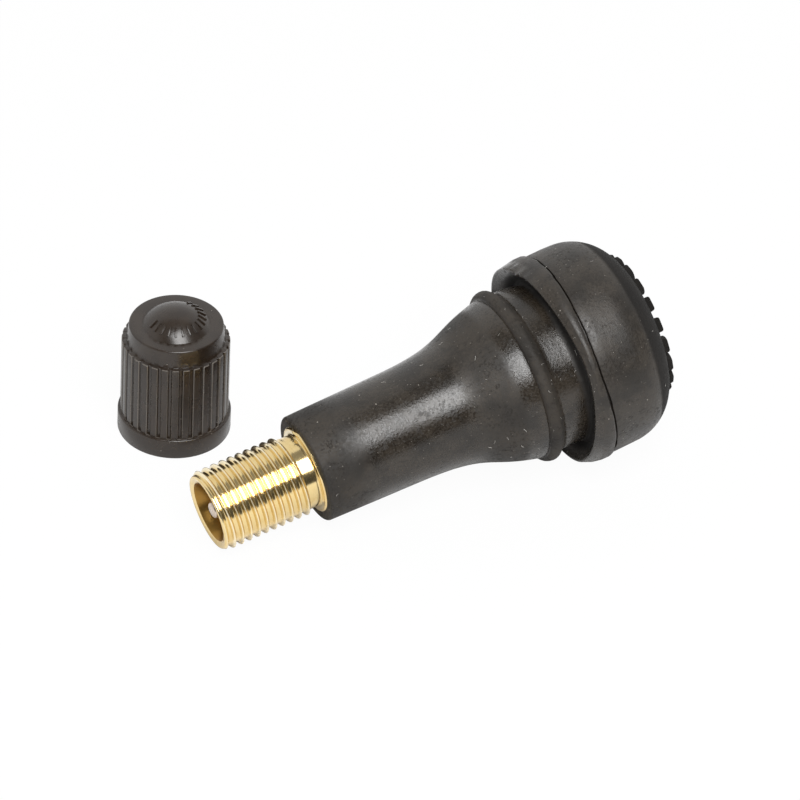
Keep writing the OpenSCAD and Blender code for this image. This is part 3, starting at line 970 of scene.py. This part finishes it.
@dataclass
class BrassStem:
    """The turned brass stem with its cap thread, relief, shoulder and bored core thread."""

    seat: Seat
    steps: int = 128
    thread: Thread = Thread(0.832, 3.84, 3.46, 2.7, 0.19)
    thread_end: float = 8.7
    thread_stop: float = 9.0
    run_out: float = 0.15
    lead_in: float = 0.5
    rim_r: float = 3.50
    rim_edge: float = 0.03
    chamfer: float = 0.60
    relief: Point = (3.46, 9.76)
    relief_root: Line = ((3.49, 9.82), (3.56, 9.85))
    shoulder: Point = (4.15, 9.85)
    shoulder_round: float = 0.20
    foot: Line = ((4.15, 11.35), (3.6, 11.35), (3.6, 33.0), (4.8, 33.0), (4.8, 35.0))
    bore: Line = ((2.1, 35.0), (2.1, 10.4), (2.66, 7.6), (2.66, 7.4))
    mouth_r: float = 2.85
    mouth_dish: float = 0.12
    mouth_len: float = 1.2
    core_thread: Thread = Thread(0.7056, 2.54, 2.66, 1.0)
    core_zone: Span = (1.55, 7.3)
    core_rise: Span = (1.6, 2.2)
    core_fall: Span = (7.0, 7.3)
    burr: Swerve = Swerve(1.0, 168.0, 5.0)
    burr_r: float = 3.9
    burr_zone: Span = (9.8, 10.1)
    burr_lift: Span = (0.05, 0.30)
    burr_out: float = 0.03
    burr_seed: int = 3

    def outline(self) -> list[Point]:
        """Gives the outline of the stem, from the mouth along the outside and back through the bore.

        Returns:
            Radius and distance along the axis of each point, in millimetres.
        """
        top, stop = self.thread.crest, self.thread_stop
        relief_r, relief_z = self.relief
        shoulder_r, shoulder_z = self.shoulder
        edge = self.shoulder_round
        pts = [(self.mouth_r + 0.02, self.mouth_dish), (self.rim_r - 0.12, 0.0), (self.rim_r - 0.03, 0.0)]
        pts += [(self.rim_r, self.rim_edge)]
        pts += straight(pts[-1], (top, self.chamfer), 32)
        pts += straight(pts[-1], (top, stop), 470)
        pts += straight((relief_r, stop), (relief_r, relief_z), 9)
        pts += self.relief_root
        pts += arc(shoulder_r - edge, shoulder_z + edge, edge, -90, 0, 6)
        pts += self.foot + self.bore
        pts += straight(pts[-1], (self.core_thread.root, self.core_zone[0]), 72)
        return pts + [(self.mouth_r, self.mouth_len), (self.mouth_r, self.mouth_dish + 0.02)]

    def cut(self, r: float, angle: float, z: float) -> Point:
        """Gives the radius of the cut threads at a place of the turned outline.

        Args:
            r: Radius of a vertex, in millimetres.
            angle: Its angle around the axis, in radians.
            z: Its distance along the axis, in millimetres.

        Returns:
            The new radius and distance.
        """
        if r > self.rim_r - SLACK and self.rim_edge < z <= self.thread_stop + SLACK:
            share = 1 - ease(z, self.thread_end - self.run_out, self.thread_end + self.run_out)
            lead = self.rim_r + (self.thread.crest - self.rim_r) * min(1.0, z / self.chamfer)
            deep = lead - min(self.thread.radius(angle, z, share), lead)
            return lead - deep * ease(z, 0.0, self.lead_in), z
        if abs(r - self.core_thread.root) < SLACK and self.core_zone[0] < z < self.core_zone[1]:
            share = ease(z, *self.core_rise) * (1 - ease(z, *self.core_fall))
            return self.core_thread.radius(angle, z, share), z
        return r, z

    def torn_flash(self, bm: Mesh) -> None:
        """Pulls up a small torn burr on the edge of the shoulder.

        Args:
            bm: The stem mesh.
        """
        rng = random.Random(self.burr_seed)
        low, high = self.burr_zone
        for v in bm.verts:
            r, z = math.hypot(v.co.x, v.co.y) / MM, v.co.z / MM
            if r < self.burr_r or not low < z < high:
                continue
            near = self.burr.off(math.degrees(math.atan2(v.co.y, v.co.x)))
            if near > 0.05:
                v.co.z -= near * rng.uniform(*self.burr_lift) * MM
                v.co.x *= 1 + near * self.burr_out
                v.co.y *= 1 + near * self.burr_out

    def build(self) -> None:
        """Builds and dresses the stem."""
        bm = turned(self.outline(), self.steps, True)
        reshape(bm, self.cut)
        self.torn_flash(bm)
        finishes = [BrightBrass().make(self.seat)]
        Piece("brass_stem", self.seat, "stem", Slot.BRASS).add(bm, finishes, sharp=50)


@dataclass
class ValveCore:
    """The screwed-in core: threaded plug with its bridge, pin, barrel, spring, cup and seals."""

    seat: Seat
    plug_thread: Thread = Thread(0.7056, 2.60, 2.30, 1.0)
    plug: Span = (4.2, 7.4)
    plug_chamfer: float = 0.25
    around: int = 96
    plug_hole_r: float = 1.75
    swivel_r: float = 2.1
    swivel: Span = (5.6, 6.9)
    bridge: Span = (2.7, 4.3)
    bridge_r: float = 2.4
    bridge_hole_r: float = 0.58
    bridge_half: float = 1.15
    bridge_edge: float = 0.12
    pin_tip: float = 0.35
    pin_flat_r: float = 0.34
    pin_dome: float = 0.34
    pin_head_r: float = 0.80
    pin_shaft: Line = (
        (0.80, 0.85), (0.77, 0.88), (0.42, 1.18), (0.42, 16.9),
        (0.75, 16.9), (0.75, 17.1), (0.6, 17.3), (0.0, 17.3),
    )
    ear: Span = (9.0, 9.35)
    ear_r: float = 1.0
    ear_half: float = 0.6
    wire_r: float = 0.16
    coil_r: float = 0.90
    coil: Span = (9.53, 14.42)
    coil_steps: int = 20
    open_turns: int = 5
    press: float = 1.5

    def build_plug(self, brass: Material) -> None:
        """Builds the threaded ring and the bridge of the plug.

        Args:
            brass: Material of the plug.
        """
        low, high = self.plug
        top, hole, lead = self.plug_thread.crest, self.plug_hole_r, self.plug_chamfer
        start, end = self.swivel
        pts = [(hole, low), (top - lead, low), (top, low + 0.2)]
        pts += straight(pts[-1], (top, high - 0.15), 48)
        pts += [(top - lead, high), (hole, high), (hole, end)]
        pts += [(self.swivel_r, end), (self.swivel_r, start), (hole, start)]
        ring = turned(pts, self.around, True)

        def cut(r: float, angle: float, z: float) -> Point:
            """Cuts the thread of the plug."""
            if r < top - 0.02 or not low + 0.19 < z < high - 0.14:
                return r, z
            return min(self.plug_thread.radius(angle, z), top - lead + (z - low) * 1.25), z

        reshape(ring, cut)
        z0, z1 = self.bridge
        eye, rim = self.bridge_hole_r, self.bridge_r
        pts = [(eye, z0 + 0.05), (eye + 0.08, z0), (rim - 0.15, z0), (rim, z0 + 0.15), (rim, z1), (eye, z1)]
        bar = turned(pts, self.around, True)
        flat_sided(bar, self.bridge_half)
        half = self.bridge_half * MM
        edges = [e for e in bar.edges if len(e.link_faces) == 2 and e.calc_face_angle() > 0.9]
        upper = [e for e in edges if all(v.co.z < (z0 + 0.02) * MM for v in e.verts)]
        long_rims = [e for e in upper if all(abs(abs(v.co.x) - half) < MERGE for v in e.verts)]
        rounded(bar, long_rims, self.bridge_edge, 2)
        Piece("core_plug", self.seat, "plug", Slot.CORE).add(joined(ring, bar), [brass], sharp=40)

    def build_pin(self, metal: Material) -> None:
        """Builds the pin with its domed head, ears and rivet.

        Args:
            metal: Material of the pin.
        """
        tip, head, flat = self.pin_tip, self.pin_head_r, self.pin_flat_r
        pts = [(0.0, tip), (flat * 0.5, tip)]
        for angle in (math.radians(10 * i) for i in range(10)):
            pts += [(flat + (head - flat) * math.sin(angle), tip + self.pin_dome * (1 - math.cos(angle)))]
        pin = turned(pts + list(self.pin_shaft), 64, False)
        z0, z1 = self.ear
        out = self.ear_r
        ears = turned([(0.0, z0), (out - 0.05, z0), (out, z0 + 0.05), (out, z1), (0.0, z1)], 48, False)
        flat_sided(ears, self.ear_half)
        Piece("core_pin", self.seat, "pin", Slot.PIN).add(joined(pin, ears), [metal], sharp=40)

    def build_spring(self, steel: Material) -> None:
        """Winds the spring and gives it a mesh of its own.

        Args:
            steel: Material of the spring.
        """
        low, high = self.coil
        closed = 2 * self.wire_r + 0.02
        pitch = (high - low - 2 * closed) / self.open_turns
        bm = bmesh.new()
        start = Matrix.Translation((self.coil_r * MM, 0, low * MM)) @ Matrix.Rotation(math.pi / 2, 4, "X")
        thick = self.wire_r * MM
        made = bmesh.ops.create_circle(bm, cap_ends=False, segments=8, radius=thick, matrix=start)
        ring = made["verts"]
        geom = ring + list(dict.fromkeys(e for v in ring for e in v.link_edges))
        first = [g for g in geom if isinstance(g, Edge)]
        for turns, rise in ((1, closed), (self.open_turns, pitch), (1, closed)):
            climb = (0, 0, rise * MM / self.coil_steps)
            count = self.coil_steps * turns
            made = bmesh.ops.spin(
                bm, geom=geom, cent=(0, 0, 0), axis=(0, 0, 1), dvec=climb, angle=TURN * turns, steps=count
            )
            geom = made["geom_last"]
        last = [g for g in geom if isinstance(g, Edge)]
        bmesh.ops.contextual_create(bm, geom=first)
        bmesh.ops.contextual_create(bm, geom=last)
        outward(bm)
        piece = Piece("core_spring", self.seat, "core", Slot.SPRING).add(bm, [steel], sharp=50)
        foot = self.seat.matrix @ Vector((0, 0, (high + self.wire_r) * MM))
        length = high - low + 2 * self.wire_r
        (length - self.press) / length
        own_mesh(piece)

    def dress_solids(self, brass: Material) -> None:
        """Gives the hidden solids of the core their finishes.

        Args:
            brass: Material of the barrel and the cup.
        """
        red = SealRubber("red_seal", (0.42, 0.05, 0.03), (0.30, 0.03, 0.02)).make(self.seat)
        black = SealRubber("black_seal", (0.02, 0.02, 0.02), (0.04, 0.038, 0.036)).make(self.seat)
        finishes = {"core_barrel": brass, "seal_cup": brass, "barrel_gasket": red, "cup_gasket": black}
        for node, finish in finishes.items():
            slots = frame["nodes"][node].data.materials
            slots.clear()
            slots.append(finish)
            LOG.info("%s: solid kept", node)

    def build(self) -> None:
        """Builds and dresses the core."""
        brass = PaleMetal("core_brass", (0.80, 0.60, 0.28), (0.62, 0.41, 0.15), 0.22).make(self.seat)
        pale = PaleMetal("pin_metal", (0.64, 0.55, 0.47), (0.52, 0.43, 0.35), 0.28).make(self.seat)
        steel = PaleMetal("spring_steel", (0.62, 0.62, 0.62), (0.45, 0.44, 0.43), 0.25).make(self.seat)
        self.build_plug(brass)
        self.build_pin(pale)
        self.build_spring(steel)
        self.dress_solids(brass)


@dataclass
class DustCap:
    """The ribbed plastic cap with its flange, collar, dome and threaded hole."""

    seat: Seat
    ribs: int = 31
    rib_steps: int = 20
    flange_r: float = 5.18
    flange_h: float = 2.05
    rib_r: float = 4.95
    rib_top: float = 9.95
    groove: float = 0.20
    groove_side: Span = (0.10, 0.25)
    collar: Point = (4.50, 4.33)
    collar_round: float = 0.16
    top: float = 11.65
    dome: Point = (3.12, 1.5)
    thread: Thread = Thread(0.832, 3.62, 3.92, 1.0)
    mouth: Line = ((4.36, 0.0), (4.30, 0.02), (3.92, 0.40))
    hole: Span = (9.0, 9.9)
    hole_end_r: float = 2.9
    hole_rise: Span = (0.4, 0.9)
    hole_fall: Span = (8.3, 8.9)
    ticks: int = 15
    tick_arc: Span = (-178.0, 34.0)
    tick_size: Triple = (0.95, 0.22, 0.32)
    tick_lean: float = 36.0
    tick_sink: float = 0.03
    tick_edge: float = 0.05

    def outline(self) -> list[Point]:
        """Gives the outline of the cap, from the top of its dome to the bottom of its hole.

        Returns:
            Radius and distance along the axis of each point, in millimetres.
        """
        dr, dh = self.dome
        ball = (dr * dr + dh * dh) / (2 * dh)
        edge = math.degrees(math.acos(dr / ball))
        pts = arc(0, self.top + dh - ball, ball, 90, edge, 14)
        pts[0] = (0.0, self.top + dh)
        pts += [(dr + 0.06, self.top), (dr + 0.3, self.top)]
        low, high = self.collar
        soft = self.collar_round
        pts += arc(high - soft, self.top - soft, soft, 90, 0, 5)
        pts += straight(pts[-1], (low, self.rib_top + 0.03), 3)
        pts += [(low + 0.03, self.rib_top), (self.rib_r - 0.07, self.rib_top - 0.02)]
        pts += [(self.rib_r - 0.02, self.rib_top - 0.05), (self.rib_r, self.rib_top - 0.12)]
        pts += straight(pts[-1], (self.rib_r, self.flange_h + 0.03), 5)
        rim, edge_r = self.flange_h, self.flange_r
        pts += [(self.rib_r + 0.04, rim), (edge_r - 0.10, rim), (edge_r - 0.03, rim - 0.04)]
        pts += [(edge_r, rim - 0.12), (edge_r, 0.14), (edge_r - 0.04, 0.05), (edge_r - 0.14, 0.0)]
        pts += self.mouth
        floor, end = self.hole
        pts += straight(pts[-1], (self.thread.root, floor), 64)
        return pts + [(self.hole_end_r, floor), (self.hole_end_r, end), (0.0, end)]

    def grip(self, r: float, angle: float, z: float) -> Point:
        """Gives the ribs their grooves and the hole its thread.

        Args:
            r: Radius of a vertex, in millimetres.
            angle: Its angle around the axis, in radians.
            z: Its distance along the axis, in millimetres.

        Returns:
            The new radius and distance.
        """
        if abs(r - self.thread.root) < SLACK and self.hole_rise[0] < z < self.hole[0] - 0.05:
            share = ease(z, *self.hole_rise) * (1 - ease(z, *self.hole_fall))
            return self.thread.radius(angle, z, share), z
        on_ribs = self.flange_h + 0.01 < z < self.rib_top + 0.01
        if not on_ribs or not self.collar[0] + 0.001 < r <= self.rib_r + 0.01:
            return r, z
        period = TURN / self.ribs
        off = abs((angle / period) % 1.0 - 0.5) * period * self.rib_r
        depth = self.groove * (1 - ease(off, *self.groove_side))
        return max(self.collar[0] + 0.01, r - depth), z

    def tick_marks(self, bm: Mesh) -> None:
        """Raises an arc of short plain ticks on the slope of the dome.

        Args:
            bm: The cap mesh.
        """
        dr, dh = self.dome
        ball = (dr * dr + dh * dh) / (2 * dh)
        centre = Vector((0, 0, (self.top + dh - ball) * MM))
        lift = Matrix.Translation((0, 0, (ball - self.tick_sink) * MM))
        lean = Matrix.Rotation(math.radians(self.tick_lean), 4, "Y")
        size = Matrix.Diagonal((*(Vector(self.tick_size) * MM), 1))
        low, high = self.tick_arc
        for i in range(self.ticks):
            turn = Matrix.Rotation(math.radians(low + (high - low) * i / (self.ticks - 1)), 4, "Z")
            place = Matrix.Translation(centre) @ turn @ lean @ lift @ size
            made = bmesh.ops.create_cube(bm, size=1.0, matrix=place)
            rounded(bm, [e for v in made["verts"] for e in v.link_edges], self.tick_edge, 2)

    def build(self) -> None:
        """Builds and dresses the cap."""
        bm = turned(self.outline(), self.ribs * self.rib_steps, False)
        reshape(bm, self.grip)
        self.tick_marks(bm)
        outward(bm)
        finishes = [CapPlastic().make(self.seat)]
        Piece("dust_cap", self.seat, "stem", Slot.CAP).add(bm, finishes, sharp=42)


# Studio


@dataclass(frozen=True)
class Studio:
    """White floor, a softbox, a pale surround and the camera of the photograph."""

    axis: Vector
    azimuth: float = -28.4136
    elevation: float = 38.1671
    roll: float = 2.4101
    distance: float = 0.9
    lens: float = 440.53
    target: Triple = (0.003396, 0.005497, 0.0)
    key: Triple = (-0.143, -0.574, 0.807)
    key_reach: float = 0.5
    key_power: float = 3.05
    key_size: Span = (0.277, 0.335)
    floor_half: float = 2.0
    floor_grey: float = 0.78
    floor_white: float = 0.96
    greys: Line = (
        (0.0, 0.07), (0.20, 0.07), (0.26, 0.28), (0.645, 0.28), (0.655, 0.95), (1.0, 0.95),
    )
    left: Span = (0.45, 0.80)
    left_grey: float = 0.9

    def camera(self) -> None:
        """Puts the camera where the photograph was taken from."""
        a, e, roll = (math.radians(x) for x in (self.azimuth, self.elevation, self.roll))
        back = Vector((math.sin(a) * math.cos(e), -math.cos(a) * math.cos(e), math.sin(e)))
        right = Vector((math.cos(a), math.sin(a), 0))
        up = back.cross(right)
        turned_right = math.cos(roll) * right + math.sin(roll) * up
        turned_up = math.cos(roll) * up - math.sin(roll) * right
        data = bpy.data.cameras.new("camera")
        data.lens, data.sensor_width = self.lens, 36.0
        data.clip_start, data.clip_end = 0.05, 20.0
        cam = linked("camera", data)
        turn = Matrix((turned_right, turned_up, back)).transposed().to_4x4()
        cam.matrix_world = Matrix.Translation(Vector(self.target) + back * self.distance) @ turn
        bpy.context.scene.camera = cam

    def softbox(self) -> None:
        """Hangs the light, with its first side along the valve."""
        data = bpy.data.lights.new("softbox", "AREA")
        data.shape, data.energy = "RECTANGLE", self.key_power
        data.size, data.size_y = self.key_size
        light = linked("softbox", data)
        out = Vector(self.key).normalized()
        side = (self.axis - out * self.axis.dot(out)).normalized()
        turn = Matrix((side, out.cross(side), out)).transposed().to_4x4()
        light.matrix_world = Matrix.Translation(out * self.key_reach) @ turn

    def floor(self) -> None:
        """Lays the white floor, which shows white to the camera and keeps a faint shadow."""
        bm = bmesh.new()
        bmesh.ops.create_grid(bm, x_segments=2, y_segments=2, size=self.floor_half)
        mesh = bpy.data.meshes.new("floor")
        bm.to_mesh(mesh)
        bm.free()
        made, s = material("white_floor")
        seen = s.node("ShaderNodeLightPath", output="Is Camera Ray")
        matt = s.node("ShaderNodeBsdfDiffuse", None, {"Color": (*(self.floor_grey,) * 3, 1)})
        white = s.node("ShaderNodeEmission", None, {"Color": (1, 1, 1, 1), "Strength": 1.0})
        mixed = s.node("ShaderNodeMixShader", None, {0: seen * self.floor_white, 1: matt, 2: white})
        s.node("ShaderNodeOutputMaterial", None, {"Surface": mixed})
        mesh.materials.append(made)
        floor = linked("floor", mesh)

    def surround(self) -> None:
        """Sets the surround: pale behind and at the sides, darker in front and overhead."""
        world = bpy.data.worlds.new("surround")
        world.use_nodes = True
        bpy.context.scene.world = world
        s = Sheet(world.node_tree)
        way = s.node("ShaderNodeTexCoord", output="Generated")
        a = math.radians(self.azimuth)
        dot = {"operation": "DOT_PRODUCT"}
        ahead = (-math.sin(a), math.cos(a), 0.0)
        aside = (ahead[1], -ahead[0], 0.0)
        depth = s.node("ShaderNodeVectorMath", dot, {0: way, 1: ahead}, "Value")
        side = s.node("ShaderNodeVectorMath", dot, {0: way, 1: aside}, "Value")
        stops = [(place, (grey,) * 3) for place, grey in self.greys]
        behind = s.node("ShaderNodeValToRGB", {"stops": stops}, {0: depth * 0.5 + 0.5})
        left = (0.0 - side).step(*self.left) * self.left_grey
        seen = s.node("ShaderNodeLightPath", output="Is Camera Ray")
        grey = behind.most(left).most(seen)
        light = s.node("ShaderNodeBackground", None, {"Color": grey, "Strength": 1.0})
        s.node("ShaderNodeOutputWorld", None, {"Surface": light})

    def build(self) -> None:
        """Builds the studio."""
        self.camera()
        self.floor()
        self.surround()
        self.softbox()
        bpy.context.scene.view_settings.view_transform = "Standard"


def main() -> None:
    """Builds the studio and the pieces."""
    logging.basicConfig(level=logging.INFO, format="%(name)s %(message)s")
    valve = Seat.on_mount("stem_thread", STEM_ZERO)
    Studio(valve.matrix.to_3x3() @ Vector((0, 0, 1))).build()
    upright = Matrix.Translation((*Vector(mount("cap_thread")["pos_m"]).xy, 0.0))
    RubberBody(valve).build()
    BrassStem(valve).build()
    ValveCore(valve).build()
    DustCap(Seat(upright)).build()


if __name__ == "__main__":
    main()
